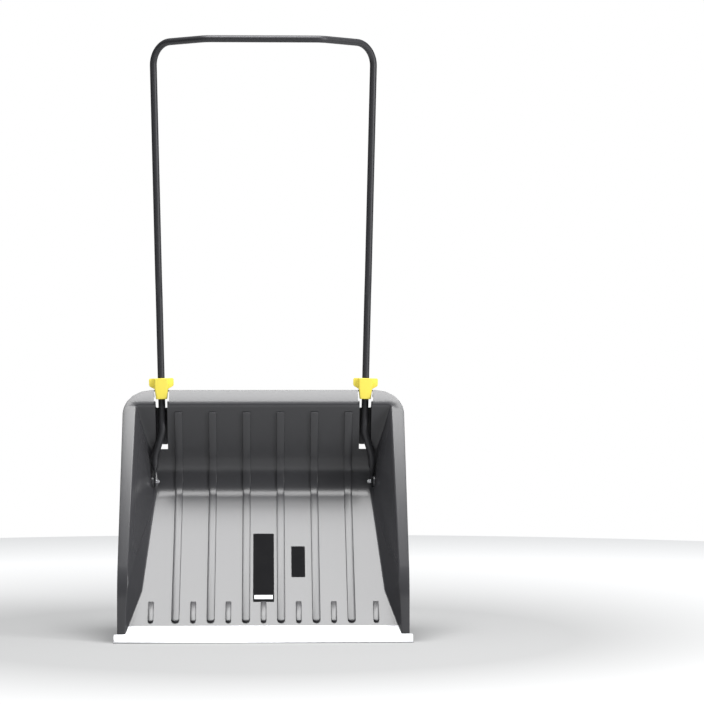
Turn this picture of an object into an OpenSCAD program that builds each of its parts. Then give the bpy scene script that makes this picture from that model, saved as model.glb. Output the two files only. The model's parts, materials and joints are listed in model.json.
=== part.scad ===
// Snow pusher: a wide moulded scoop with a metal wear strip along its front edge, pushed by one
// bent tube. The tube turns on two bolts at the heel of the scoop and stands in two notches of the
// rear rim, where a collar on each leg wedges it upright. With the collars slid up, it folds
// forward over the scoop. Millimetres, +Z up, the open side of the scoop faces -Y.

/* [Scoop] */
// Width over the outer edges of the rim
scoop_w = 726; // [600:2:880]
// Wall thickness of the moulding
wall = 4; // [3:0.25:5]
// Slope of the floor from level, with the wear strip's edge on the ground
floor_angle = 43.9; // [40:0.1:48]
// Length of the floor, from the edge of the strip to the line where it would meet the back wall
floor_l = 561; // [500:1:670]
// Lean of the back wall towards the front, from upright
back_lean = 25.6; // [22:0.1:29]
// Outer radius of the heel, where the floor turns up into the back wall
heel_r = 95; // [75:1:110]
// How far the rim stands out past each edge of the floor, measured at the front
rim_overhang = 40; // [34:1:50]
// Angle at which the floor narrows on each side towards the heel
side_taper = 4.3; // [3:0.1:5]
// Lean of the side walls outwards, from square to the floor
side_lean = 15.1; // [12:0.1:17]
// Distance from the strip's edge to where the side walls splay out
splay_u = 174; // [140:1:200]
// Angle at which the front of the side walls splays out
splay_taper = 14.5; // [12:0.1:16]
// Lean of the splayed front of the side walls
splay_lean = 9.1; // [7:0.1:11]

/* [Rim] */
// Slope of the rim from level
rim_angle = 55.9; // [54:0.1:58]
// Setback of the moulding's front edge from the edge of the strip, under the floor
front_setback = 24.6; // [20:0.2:32]
// Lean of the rim's last stretch above the front edge, from upright
tip_lean = 1.5; // [0:0.1:3]
// Length of the rim's last stretch
tip_l = 92; // [80:1:110]
// Radius that joins the last stretch to the sloping rim
rim_bend_r = 140; // [110:1:160]
// Width of the rim behind the back wall
rear_flange_w = 42; // [34:1:50]
// Radius of the rim's two rear corners
rim_corner_r = 72; // [55:1:85]
// Depth of the skirt that hangs from the rim's outer edge
skirt_h = 30; // [22:1:34]
// Depth of the skirt at the front edge
skirt_tip_h = 5; // [4:0.5:8]

/* [Ribs] */
// Number of long ribs
long_ribs = 6; // [4:2:6]
// Distance between long ribs
rib_pitch = 88; // [76:1:92]
// Width of a long rib
rib_w = 20; // [16:1:24]
// Height of the ribs over the floor
rib_h = 6; // [4:0.5:8]
// Distance from the strip's edge to the lower ends of the ribs
rib_start = 67; // [62:1:80]
// Height at which the long ribs end on the back wall
rib_top = 562; // [520:1:566]
// Length of a short rib
short_rib_l = 65; // [50:1:80]
// Width of a short rib
short_rib_w = 14; // [10:1:16]

/* [Wear strip] */
// Length of the strip, across the scoop
strip_w = 742; // [730:1:900]
// Width of the strip, along the floor
strip_l = 54; // [48:1:60]
// Thickness of the strip
strip_t = 3; // [2:0.25:4]
// Number of rivets through the strip
rivet_count = 7; // [5:1:9]
// Distance between rivets
rivet_pitch = 100; // [60:1:105]
// Radius of a rivet's shank
rivet_r = 2.4; // [2:0.1:3]

/* [Handle] */
// Overall height, to the top of the crossbar
handle_h = 1528; // [1250:1:1850]
// Outer diameter of the tube
tube_d = 18; // [15:0.5:22]
// Wall thickness of the tube
tube_wall = 1.5; // [1:0.1:2]
// Splay of each leg outwards, from upright
leg_splay = 1.4; // [0:0.1:2]
// How far each leg steps inwards above its bolt
leg_step = 17.8; // [14:0.1:24]
// Distance of the legs in front of the pivot bolts
leg_forward = 11.4; // [9:0.1:12]
// Height of the kink in the legs above the rim
kink_rise = 246; // [225:1:300]
// Forward offset of the legs above the kink
kink_forward = 8.7; // [0:0.1:15]
// Inward run of each arm at the top, along X
arm_in = 139; // [100:1:160]
// Forward run of each arm at the top, along Y
arm_forward = 112; // [80:1:140]
// Radius of the bends at the top of the legs
top_bend_r = 57; // [45:1:70]
// Radius of the bends at the ends of the crossbar
grip_bend_r = 50; // [40:1:60]

/* [Pivot] */
// Distance of the pivot in front of the heel line, along the floor
pivot_back = 40; // [38:0.5:48]
// Height of the pivot over the underside of the floor
pivot_up = 32; // [30:0.5:38]
// Radius of the pivot bolt
bolt_r = 3; // [2.5:0.25:4]
// Width of the flattened end of the tube
tongue_w = 28; // [24:1:30]
// Thickness of the flattened end of the tube
tongue_t = 4.5; // [3:0.25:5]

/* [Collars] */
// How deep a collar stands in its notch, below the top of the rim
collar_drop = 24; // [20:1:28]
// How high a collar stands over the top of the rim
collar_rise = 30; // [24:1:36]
// Depth of a collar, front to back
collar_d = 27; // [25:0.5:32]
// Width of a collar at its lower end
collar_w_low = 29; // [28:0.5:34]
// Width of a collar at its shoulders
collar_w_high = 36; // [34:0.5:40]
// Width over the finger wings of a collar
wing_w = 64; // [54:1:76]
// Thickness of a finger wing
wing_t = 5; // [3:0.5:8]

/* [Labels] */
// Width of the long label
long_label_w = 53; // [40:1:60]
// Length of the long label
long_label_l = 230; // [180:1:250]
// Width of the small label
small_label_w = 35; // [25:1:40]
// Length of the small label
small_label_l = 104; // [70:1:120]

/* [Hidden] */
$fn = 96;

// Clearances
fit_gap = 0.05;     // around a bolt or rivet in its hole
slide_gap = 0.1;    // around the tube in a collar
face_gap = 0.3;     // between faces that turn past each other
bed_gap = 0.05;     // under what is seated on the moulding: strip, labels, washers, bolt heads
strip_gap = 1.4;    // between the strip and the side walls and rim

far = 2000;
rim_hw = scoop_w / 2;
tube_r = tube_d / 2;

// Directions and arcs in the side view, as [Y, Z]
function dir(a) = [cos(a), sin(a)];
function arc(c, r, from, to) = [for (i = [0 : arc_steps]) c + r * dir(from + (to - from) * i / arc_steps)];
arc_steps = 24;
floor_up = dir(floor_angle + 90);
floor_run = dir(floor_angle);
wall_out = dir(back_lean);
rim_run = dir(rim_angle);
rim_out = dir(rim_angle + 90);
tip_run = dir(90 + tip_lean);
tip_out = dir(180 + tip_lean);

// Side view laid out from the point of the floor's underside below the strip's front edge,
// with that edge on the ground
bed = wall + bed_gap;
base = [0, -bed * cos(floor_angle)];
heel = base + floor_l * floor_run;
heel_half = (90 - floor_angle + back_lean) / 2;
heel_to_tangent = heel_r * tan(heel_half);
heel_c = heel - heel_to_tangent * floor_run + heel_r * floor_up;
rim_tip = base + front_setback * floor_run;
rim_bend_c = rim_tip + tip_l * tip_run - rim_bend_r * tip_out;
rim_start = rim_bend_c + rim_bend_r * rim_out;
// Where the sloping rim meets the outside of the back wall, measured along the rim
rim_at_wall = ((heel_c - rim_start) * wall_out + heel_r) / (rim_run * wall_out);
rim_l = rim_at_wall + rear_flange_w;
rim_top = rim_start + rim_l * rim_run;

// The part's origin is under the middle of its depth
y_front = -(bed + strip_t) * sin(floor_angle);
y_back = heel_c[0] + heel_r;
y_shift = -(y_front + y_back) / 2;

// Half widths of the floor as it meets a side wall, at the strip's edge
floor_hw = rim_hw - rim_overhang;
splay_hw = floor_hw + (tan(splay_taper) - tan(side_taper)) * splay_u;

// Thickness of the side walls, measured along X
side_wall = wall * norm([1, tan(side_taper), tan(side_lean)]);
splay_wall = wall * norm([1, tan(splay_taper), tan(splay_lean)]);

// Pivot, as [Y, Z], and the outside of the side wall there
pivot_u = floor_l - pivot_back;
pivot = base + pivot_u * floor_run + pivot_up * floor_up;
wall_at_pivot = floor_hw - tan(side_taper) * pivot_u + tan(side_lean) * pivot_up;
tongue_x = wall_at_pivot - side_wall - tan(side_lean) * tongue_w / 2 - face_gap - tongue_t / 2;
boss_x = tongue_x + tongue_t / 2 + face_gap;
boss_r = 15;
seat_x = wall_at_pivot + 3;
seat_r = 8;

// Legs
leg_y = pivot[0] - leg_forward;
collar_z = rim_top[1] - collar_drop;
collar_l = collar_drop + collar_rise;
leg_x = tongue_x - leg_step;
tube_start_z = pivot[1] + 46;
step_low_z = pivot[1] + 64;
step_high_z = pivot[1] + 132;
step_y = leg_y + 8;
step_bend_r = 60;
kink_z = rim_top[1] + kink_rise;
kink_l = 42;
kink_bend_r = 120;
bend_lap = 1;
bend_trim = 0.12;
arm_z = handle_h - tube_r;
function leg_x_at(z) = leg_x + tan(leg_splay) * (z - collar_z);

// Centre line of the right half of the handle, from the bolt up
right_line = [
    [tongue_x, step_y, tube_start_z],
    [tongue_x, step_y, step_low_z],
    [leg_x_at(step_high_z), leg_y, step_high_z],
    [leg_x_at(kink_z), leg_y, kink_z],
    [leg_x_at(kink_z + kink_l), leg_y - kink_forward, kink_z + kink_l],
    [leg_x_at(arm_z), leg_y - kink_forward, arm_z],
    [leg_x_at(arm_z) - arm_in, leg_y - kink_forward - arm_forward, arm_z]
];
right_bends = [step_bend_r, step_bend_r, kink_bend_r, kink_bend_r, top_bend_r, grip_bend_r];
half_count = len(right_line);
tube_line = [for (i = [0 : 2 * half_count - 1])
    i < half_count ? right_line[i] : flip(right_line[2 * half_count - 1 - i])];
tube_bends = [for (i = [0 : 2 * half_count - 3])
    i < half_count - 1 ? right_bends[i] : right_bends[2 * half_count - 3 - i]];
function flip(p) = [-p[0], p[1], p[2]];

// Leg notches in the back wall and rim
notch_hw = collar_w_low / 2 + 1;
rim_notch_hw = collar_w_high / 2 + 3;
pocket_depth = tube_r + 8;
pocket_low = pivot[1] + 83;
pocket_top = rim_top[1] - 56;

// Bolt stack on each side, inwards from the tongue
washer_t = 1.2;
nut_l = 6;
washer_x = tongue_x - tongue_t / 2 - face_gap - washer_t;
nut_x = washer_x - nut_l;
bolt_end = nut_x - 2;
head_r = bolt_r * 1.9;
head_l = bolt_r * 1.1;

// Rivets
rivet_u = 41;
rivet_head_r = rivet_r * 1.9;
rivet_head_h = 1.2;
rivet_washer_t = 1;
washer_h = -rivet_washer_t - bed_gap;
rivet_washer_r = rivet_r * 2.5;
rivet_tail_r = rivet_r * 1.5;
rivet_tail_h = 1.4;

// Labels
label_t = 0.3;
long_label_u = 134;
small_label_u = 216;
small_label_x = rib_pitch;

function unit(v) = v / norm(v);

module at_row() translate([0, y_shift, 0]) children();

// Draws a [Y, Z] outline as a slab that is w wide, centred on X
module across(w) rotate([90, 0, 90]) linear_extrude(w, center = true) children();

// Places children in the floor's frame: X across, Y up the slope, Z square to the floor
module on_floor() translate([0, base[0], base[1]]) rotate([floor_angle, 0, 0]) children();

// Places children in the rim's frame: X across, Y up the slope, Z square to the rim
module on_rim() translate([0, rim_start[0], rim_start[1]]) rotate([rim_angle, 0, 0]) children();

// Repeats children on both sides
module both() {
    children();
    mirror([1, 0, 0]) children();
}

// Side view of the space between floor and back wall, inset from the outside
module basin_profile(inset) {
    r = heel_r - inset;
    heel_arc = arc(heel_c, r, floor_angle - 90, back_lean);
    low = heel_arc[0] - far * floor_run;
    high = heel_arc[arc_steps] + far * dir(90 + back_lean);
    polygon(concat([low], heel_arc, [high, high - far * floor_run]));
}

// Everything on the inner side of one plane of a right-hand side wall
module flank_space(hw, taper, lean, inset) {
    slope = [tan(taper), tan(lean)];
    push = inset * norm([1, slope[0], slope[1]]);
    translate([hw - push, 0, 0])
        rotate([0, atan(slope[1] * cos(taper)), taper])
            translate([-far, -far, -far]) cube([far, 2 * far, 2 * far]);
}

module flank(inset) {
    flank_space(floor_hw, side_taper, side_lean, inset);
    flank_space(splay_hw, splay_taper, splay_lean, inset);
}

// The scoop's bulk, inset from its outside: 0 gives the outer surface, wall the inner one
module basin(inset) {
    intersection() {
        across(2 * far) basin_profile(inset);
        on_floor() flank(inset);
        on_floor() mirror([1, 0, 0]) flank(inset);
    }
}

// Side view of everything behind the rim, inset square to it
module behind_rim(inset, tip_inset) {
    r = rim_bend_r - inset;
    bend_arc = arc(rim_bend_c, r, rim_angle + 90, 180 + tip_lean);
    tip = rim_tip - tip_inset * tip_out;
    below = tip + 3 * (tip - bend_arc[arc_steps]);
    polygon(concat([bend_arc[0] + far * rim_run], bend_arc, [tip, below, [far, below[1]], [far, far]]));
}

// Side view of a band that follows the rim, above the plane of the floor's underside
module rim_band(depth, tip_depth) {
    low = heel_c - heel_r * floor_up;
    difference() {
        behind_rim(0, 0);
        behind_rim(depth, tip_depth);
        polygon([low - far * floor_run, low, [low[0] + far, low[1]], [low[0] + far, low[1] - far],
            [low[0] - far, low[1] - 2 * far]]);
    }
}

// Outline of the rim in the plane of its slope, with round rear corners
module rim_outline(inset, low) {
    hw = rim_hw - inset;
    l = rim_l - inset;
    r = rim_corner_r - inset;
    translate([-hw, low]) square([2 * hw, l - r - low]);
    translate([r - hw, low]) square([2 * (hw - r), l - low]);
    for (side = [-1, 1]) translate([side * (hw - r), l - r]) circle(r);
}

module rim() {
    intersection() {
        across(2 * far) rim_band(wall, wall);
        on_rim() linear_extrude(far, center = true) rim_outline(0, -far);
    }
    intersection() {
        across(2 * far) rim_band(skirt_h, skirt_tip_h);
        on_rim() linear_extrude(far, center = true) difference() {
            rim_outline(0, -far);
            rim_outline(wall, -far - 1);
        }
    }
}

// Housing behind the back wall for one leg, with its top edge sloping down to the rear
module leg_pocket() {
    back = leg_y + pocket_depth + wall;
    translate([leg_x, 0, 0]) across(2 * (notch_hw + wall)) intersection() {
        polygon([[back, pocket_low], [back, pocket_top - 16], [back - 24, pocket_top],
            [back - 60, pocket_top + 24], [back - 90, pocket_low]]);
        difference() {
            translate([0, -far]) square([far, 2 * far]);
            basin_profile(wall / 2);
        }
    }
}

// Space for one leg: a channel that opens to the front, and the notch in the rim above it
module leg_space() {
    translate([leg_x, leg_y + pocket_depth - far / 2, (pocket_low + far) / 2])
        cube([2 * notch_hw, far, far - pocket_low], center = true);
    translate([leg_x - notch_hw, leg_y - far / 2, pocket_top]) cube([2 * notch_hw, far, far]);
    translate([leg_x - rim_notch_hw, leg_y - far / 2, collar_z - 4]) cube([2 * rim_notch_hw, far, far]);
}

module long_rib() {
    across(rib_w) intersection() {
        difference() {
            basin_profile(wall / 2);
            basin_profile(wall + rib_h);
        }
        translate(base) rotate(floor_angle) translate([rib_start, -far]) square([far, 2 * far]);
        translate([-far, -far]) square([2 * far, far + rib_top]);
    }
}

module short_rib() {
    on_floor() translate([0, 0, wall / 2]) linear_extrude(wall / 2 + rib_h) {
        translate([-short_rib_w / 2, rib_start + short_rib_w / 2])
            square([short_rib_w, short_rib_l - short_rib_w / 2]);
        translate([0, rib_start + short_rib_w / 2]) circle(short_rib_w / 2);
    }
}

module ribs() {
    for (i = [0 : long_ribs - 1]) translate([(i - (long_ribs - 1) / 2) * rib_pitch, 0, 0]) long_rib();
    for (i = [-2 : 2]) translate([i * rib_pitch, 0, 0]) short_rib();
    both() translate([3.2 * rib_pitch, 0, 0]) short_rib();
}

// Round boss along X at the pivot, between two planes
module pivot_disc(r, x_low, x_high) {
    translate([x_low, pivot[0], pivot[1]]) rotate([0, 90, 0]) cylinder(x_high - x_low, r = r);
}

module rivet_places() {
    for (i = [0 : rivet_count - 1])
        on_floor() translate([(i - (rivet_count - 1) / 2) * rivet_pitch, rivet_u, 0]) children();
}

module scoop() {
    color("#26272a") at_row() difference() {
        union() {
            difference() {
                union() {
                    intersection() {
                        basin(0);
                        across(2 * far) behind_rim(0, 0);
                    }
                    rim();
                    both() leg_pocket();
                    both() pivot_disc(seat_r, boss_x, seat_x);
                }
                basin(wall);
            }
            ribs();
            both() intersection() {
                pivot_disc(boss_r, boss_x, seat_x);
                basin(wall / 2);
            }
        }
        both() leg_space();
        both() pivot_disc(bolt_r + fit_gap, boss_x - 5, seat_x + 5);
        rivet_places() translate([0, 0, -wall]) cylinder(3 * wall, r = rivet_r + fit_gap);
    }
}

module wear_strip() {
    wide_l = front_setback + wall * tan(floor_angle) - strip_gap;
    low_hw = splay_hw - splay_wall - tan(splay_taper) * wide_l - strip_gap;
    high_hw = splay_hw - splay_wall - tan(splay_taper) * strip_l - strip_gap;
    right = [[strip_w / 2, 0], [strip_w / 2, wide_l], [low_hw, wide_l], [high_hw, strip_l]];
    left = [for (i = [3 : -1 : 0]) [-right[i][0], right[i][1]]];
    color("#dfe2e6") at_row() difference() {
        on_floor() translate([0, 0, bed]) linear_extrude(strip_t) polygon(concat(right, left));
        rivet_places() cylinder(2 * (wall + strip_t), r = rivet_r + fit_gap);
    }
}

module strip_rivets() {
    color("#c9ccd0") at_row() rivet_places() {
        translate([0, 0, bed + strip_t]) cylinder(rivet_head_h, r = rivet_head_r);
        translate([0, 0, washer_h]) cylinder(bed + strip_t - washer_h, r = rivet_r);
        translate([0, 0, washer_h - rivet_tail_h]) cylinder(rivet_tail_h, r = rivet_tail_r);
    }
}

module rivet_washers() {
    color("#b4b7bb") at_row() rivet_places() translate([0, 0, washer_h]) difference() {
        cylinder(rivet_washer_t, r = rivet_washer_r);
        translate([0, 0, -1]) cylinder(rivet_washer_t + 2, r = rivet_r + fit_gap);
    }
}

// Section of the tube's wall, thinned by trim on both faces
module tube_section(trim) {
    difference() {
        circle(tube_r - trim);
        circle(tube_r - tube_wall + trim);
    }
}

// Length of tube from a to b
module tube_straight(a, b) {
    run = b - a;
    translate(a) rotate([0, acos(run[2] / norm(run)), atan2(run[1], run[0])])
        linear_extrude(norm(run)) tube_section(0);
}

// Bend of radius r at corner p, between the unit directions d_in and d_out. It runs a little way
// into the straight lengths on both sides, inside their wall
module tube_elbow(p, d_in, d_out, r) {
    turn = acos(d_in * d_out);
    start = p - r * tan(turn / 2) * d_in;
    centre = p + r / cos(turn / 2) * unit(d_out - d_in);
    x = (start - centre) / r;
    y = d_in;
    z = cross(x, y);
    lap = atan(bend_lap / r);
    multmatrix([[x[0], y[0], z[0], centre[0]], [x[1], y[1], z[1], centre[1]],
        [x[2], y[2], z[2], centre[2]]])
        rotate(-lap) rotate_extrude(angle = turn + 2 * lap) translate([r, 0]) tube_section(bend_trim);
}

// Tube along a line of points, with one bend radius for each inner point
module tube_run(line, bends) {
    count = len(line);
    dirs = [for (i = [0 : count - 2]) unit(line[i + 1] - line[i])];
    cuts = [for (i = [0 : count - 1]) i == 0 || i == count - 1 ? 0
        : bends[i - 1] * tan(acos(dirs[i - 1] * dirs[i]) / 2)];
    for (i = [0 : count - 2])
        tube_straight(line[i] + cuts[i] * dirs[i], line[i + 1] - cuts[i + 1] * dirs[i]);
    for (i = [1 : count - 2]) tube_elbow(line[i], dirs[i - 1], dirs[i], bends[i - 1]);
}

// Pressed end of the tube: a round neck that flattens into a drilled tongue
module tongue() {
    flat_z = pivot[1] + 22;
    hull() {
        translate([tongue_x, step_y, tube_start_z - 1]) cylinder(3, r = tube_r - 1, $fn = 32);
        translate([tongue_x, pivot[0], flat_z]) cube([tongue_t, tongue_w, 1], center = true);
    }
    translate([tongue_x - tongue_t / 2, pivot[0] - tongue_w / 2, pivot[1]])
        cube([tongue_t, tongue_w, flat_z - pivot[1]]);
    pivot_disc(tongue_w / 2, tongue_x - tongue_t / 2, tongue_x + tongue_t / 2);
}

module handle_tube() {
    color("#202124") at_row() difference() {
        union() {
            tube_run(tube_line, tube_bends);
            both() tongue();
        }
        both() pivot_disc(bolt_r + fit_gap, tongue_x - tongue_t, tongue_x + tongue_t);
    }
}

// Collar around the right leg: a body that narrows into the notch, with two finger wings
module collar() {
    low = collar_w_low / 2;
    high = collar_w_high / 2;
    wing = wing_w / 2;
    body = [[-low, 0], [low, 0], [high, collar_drop + 1], [high, collar_l], [-high, collar_l],
        [-high, collar_drop + 1]];
    wings = [[-high, collar_drop + 2], [high, collar_drop + 2], [wing, collar_drop + 10],
        [wing, collar_l], [-wing, collar_l], [-wing, collar_drop + 10]];
    translate([leg_x, leg_y, collar_z]) rotate([0, leg_splay, 0]) difference() {
        rotate([90, 0, 0]) {
            linear_extrude(collar_d, center = true) polygon(body);
            linear_extrude(wing_t, center = true) polygon(wings);
        }
        translate([0, 0, -1]) cylinder(collar_l + 2, r = tube_r + slide_gap);
    }
}

module collar_right() color("#f2d62a") at_row() collar();

module collar_left() color("#f2d62a") at_row() mirror([1, 0, 0]) collar();

// Button-headed bolt from the outside of the right side wall
module pivot_bolt() {
    pivot_disc(bolt_r, bolt_end, seat_x + bed_gap);
    pivot_disc(head_r, seat_x + bed_gap, seat_x + head_l);
}

module pivot_bolt_right() color("#c4c7cb") at_row() pivot_bolt();

module pivot_bolt_left() color("#c4c7cb") at_row() mirror([1, 0, 0]) pivot_bolt();

module bolt_washer() {
    difference() {
        pivot_disc(bolt_r * 2.1, washer_x, washer_x + washer_t);
        pivot_disc(bolt_r + fit_gap, washer_x - 1, washer_x + washer_t + 1);
    }
}

module bolt_washer_right() color("#b4b7bb") at_row() bolt_washer();

module bolt_washer_left() color("#b4b7bb") at_row() mirror([1, 0, 0]) bolt_washer();

module lock_nut() {
    across_flats_r = bolt_r * 1.67;
    difference() {
        translate([nut_x, pivot[0], pivot[1]]) rotate([0, 90, 0])
            cylinder(nut_l, r = across_flats_r / cos(30), $fn = 6);
        pivot_disc(bolt_r + fit_gap, nut_x - 1, nut_x + nut_l + 1);
    }
}

module lock_nut_right() color("#a9acb0") at_row() lock_nut();

module lock_nut_left() color("#a9acb0") at_row() mirror([1, 0, 0]) lock_nut();

// Thin plate on the floor, centred on x, starting at u
module label_plate(x, u, w, l) {
    on_floor() translate([x - w / 2, u, bed]) cube([w, l, label_t]);
}

module long_label() color("#15171c") at_row() label_plate(0, long_label_u, long_label_w, long_label_l);

module small_label() color("#15171c") at_row()
    label_plate(small_label_x, small_label_u, small_label_w, small_label_l);

scoop();
wear_strip();
strip_rivets();
rivet_washers();
handle_tube();
collar_left();
collar_right();
pivot_bolt_left();
pivot_bolt_right();
bolt_washer_left();
bolt_washer_right();
lock_nut_left();
lock_nut_right();
long_label();
small_label();
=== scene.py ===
"""Looks of a snow pusher: a moulded scoop with a metal wear strip and a tube handle that folds.

Metres, +Z up, the open side of the scoop faces -Y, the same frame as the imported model.
"""

import json
import logging
import math
from dataclasses import dataclass
from enum import Enum
from typing import Iterable, Sequence

import bmesh
import bpy
from mathutils import Matrix, Vector

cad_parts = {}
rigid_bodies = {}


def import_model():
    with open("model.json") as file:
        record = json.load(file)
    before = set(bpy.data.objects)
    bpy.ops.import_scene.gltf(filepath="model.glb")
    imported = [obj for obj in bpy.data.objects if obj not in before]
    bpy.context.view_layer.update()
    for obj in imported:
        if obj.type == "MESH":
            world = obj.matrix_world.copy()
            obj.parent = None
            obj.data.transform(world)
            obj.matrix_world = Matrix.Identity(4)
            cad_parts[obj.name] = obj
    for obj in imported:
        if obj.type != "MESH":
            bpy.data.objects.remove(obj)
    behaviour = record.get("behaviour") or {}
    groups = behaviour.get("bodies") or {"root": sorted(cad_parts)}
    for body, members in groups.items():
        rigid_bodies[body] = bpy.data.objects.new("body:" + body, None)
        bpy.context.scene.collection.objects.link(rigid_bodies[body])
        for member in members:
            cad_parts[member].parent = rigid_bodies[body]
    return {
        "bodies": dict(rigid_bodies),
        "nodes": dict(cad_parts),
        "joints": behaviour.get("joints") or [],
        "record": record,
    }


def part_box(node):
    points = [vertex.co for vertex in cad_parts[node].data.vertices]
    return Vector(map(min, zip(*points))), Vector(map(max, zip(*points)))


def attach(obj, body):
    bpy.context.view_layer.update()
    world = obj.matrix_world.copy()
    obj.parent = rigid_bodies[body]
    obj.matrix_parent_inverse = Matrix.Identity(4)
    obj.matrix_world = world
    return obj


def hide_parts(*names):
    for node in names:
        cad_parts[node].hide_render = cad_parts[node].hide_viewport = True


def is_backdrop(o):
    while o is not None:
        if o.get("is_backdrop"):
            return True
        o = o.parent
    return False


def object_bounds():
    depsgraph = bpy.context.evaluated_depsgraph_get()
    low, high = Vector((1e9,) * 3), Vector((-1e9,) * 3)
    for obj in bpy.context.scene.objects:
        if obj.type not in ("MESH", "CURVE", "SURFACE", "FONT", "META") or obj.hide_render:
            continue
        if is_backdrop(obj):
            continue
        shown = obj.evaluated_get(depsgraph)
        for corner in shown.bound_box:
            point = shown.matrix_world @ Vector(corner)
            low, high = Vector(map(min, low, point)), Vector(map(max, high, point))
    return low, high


LOG = logging.getLogger("snow_pusher")

BED_GAP = 0.00005   # under what lies on the moulding
FACE_GAP = 0.0003   # between faces that turn past each other
RIDGE = 0.0055      # height of the ribs over the floor
LEG_X = 0.26421     # leg's axis at the collar's foot
LEG_SPLAY = 1.4     # lean of the legs outwards, in degrees
COLLAR_Z = 0.596618  # foot of the collars


class Side(Enum):
    """Which side of the pusher a piece belongs to."""

    LEFT = -1
    RIGHT = 1


class Grain(Enum):
    """How a finish breaks up its surface."""

    MOULDED = "moulded"
    BRUSHED = "brushed"
    COATED = "coated"


# ---------------------------------------------------------------------------
# Side view of the scoop
# ---------------------------------------------------------------------------


def heading(degrees: float) -> Vector:
    """Unit direction in the side view, as (y, z)."""
    return Vector((math.cos(math.radians(degrees)), math.sin(math.radians(degrees))))


@dataclass(frozen=True)
class SideView:
    """The scoop's lines in the side view, as (y, z) points and angles.

    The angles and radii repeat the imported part's, and the ground point is measured from its box.
    """

    strip_foot: Vector
    floor_angle: float = 43.9
    back_lean: float = 25.6
    rim_angle: float = 55.9
    tip_lean: float = 1.5
    wall: float = 0.004
    heel_r: float = 0.095
    bend_r: float = 0.140
    tip_l: float = 0.092
    floor_l: float = 0.561
    setback: float = 0.0246
    rear_flange: float = 0.042

    @property
    def run(self) -> Vector:
        """Uphill along the floor."""
        return heading(self.floor_angle)

    @property
    def up(self) -> Vector:
        """Square to the floor, into the scoop."""
        return heading(self.floor_angle + 90)

    @property
    def bed(self) -> float:
        """Height over the floor's underside of what lies on the floor."""
        return self.wall + BED_GAP

    @property
    def base(self) -> Vector:
        """Point of the floor's underside below the strip's front edge."""
        return self.strip_foot - self.up * self.bed

    @property
    def heel_centre(self) -> Vector:
        """Centre of the heel's curve."""
        half = math.radians((90 - self.floor_angle + self.back_lean) / 2)
        reach = self.floor_l - self.heel_r * math.tan(half)
        return self.base + self.run * reach + self.up * self.heel_r

    @property
    def rim_run(self) -> Vector:
        """Uphill along the rim."""
        return heading(self.rim_angle)

    @property
    def rim_out(self) -> Vector:
        """Square to the rim, away from the scoop."""
        return heading(self.rim_angle + 90)

    @property
    def tip(self) -> Vector:
        """Lowest point of the moulding's front edge."""
        return self.base + self.run * self.setback

    @property
    def bend_centre(self) -> Vector:
        """Centre of the curve between the rim's last stretch and its slope."""
        return (self.tip + heading(90 + self.tip_lean) * self.tip_l
                - heading(180 + self.tip_lean) * self.bend_r)

    @property
    def rim_start(self) -> Vector:
        """Lower end of the sloping rim."""
        return self.bend_centre + self.rim_out * self.bend_r

    @property
    def rim_wall(self) -> float:
        """Distance along the rim to the back wall's outside."""
        out = heading(self.back_lean)
        return ((self.heel_centre - self.rim_start).dot(out) + self.heel_r) / self.rim_run.dot(out)

    @property
    def rim_l(self) -> float:
        """Length of the sloping rim, with the rear flange."""
        return self.rim_wall + self.rear_flange

    def inner_profile(self, inset: float, steps: int = 10) -> list[Vector]:
        """Line of the floor, heel and back wall.

        Args:
            inset: Distance inwards from the outside of the moulding.
            steps: Number of straight pieces in the heel.

        Returns:
            Points from the front edge of the floor up to the rim.
        """
        r = self.heel_r - inset
        front = self.base + self.up * inset
        front += self.run * (self.setback + inset * math.tan(math.radians(self.floor_angle)))
        low, turn = self.floor_angle - 90, 90 - self.floor_angle + self.back_lean
        arc = [self.heel_centre + heading(low + i / steps * turn) * r for i in range(steps + 1)]
        climb = heading(90 + self.back_lean)
        reach = (self.rim_start - arc[-1]).dot(self.rim_out) / climb.dot(self.rim_out)
        return [front, *arc, arc[-1] + climb * reach]

    def rim_profile(self, steps: int = 6) -> list[Vector]:
        """Line of the rim from its lower end to its bend, not counting the slope itself."""
        a, b = self.rim_angle + 90, 180 + self.tip_lean
        turns = [a + (b - a) * i / steps for i in range(steps + 1)]
        arc = [self.bend_centre + heading(turn) * self.bend_r for turn in turns]
        return [*arc, self.tip]

    def on_floor(self, x: float, u: float, h: float) -> Vector:
        """Point in the floor's frame: x across, u uphill from the strip's edge, h over the underside."""
        p = self.base + self.run * u + self.up * h
        return Vector((x, p.x, p.y))

    def on_rim(self, x: float, u: float, h: float = 0.0) -> Vector:
        """Point in the rim's frame: x across, u uphill along the rim, h out of it."""
        p = self.rim_start + self.rim_run * u + self.rim_out * h
        return Vector((x, p.x, p.y))


# ---------------------------------------------------------------------------
# Mesh helpers
# ---------------------------------------------------------------------------


def unique(items: Iterable) -> list:
    """Returns the items without repeats, in a fixed order, so that each run gives the same mesh."""
    return list(dict.fromkeys(items))


def merged(bm: bmesh.types.BMesh, distance: float = 1e-5) -> None:
    """Merges doubles and points all faces outwards."""
    bmesh.ops.remove_doubles(bm, verts=bm.verts[:], dist=distance)
    bmesh.ops.recalc_face_normals(bm, faces=bm.faces[:])


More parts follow.
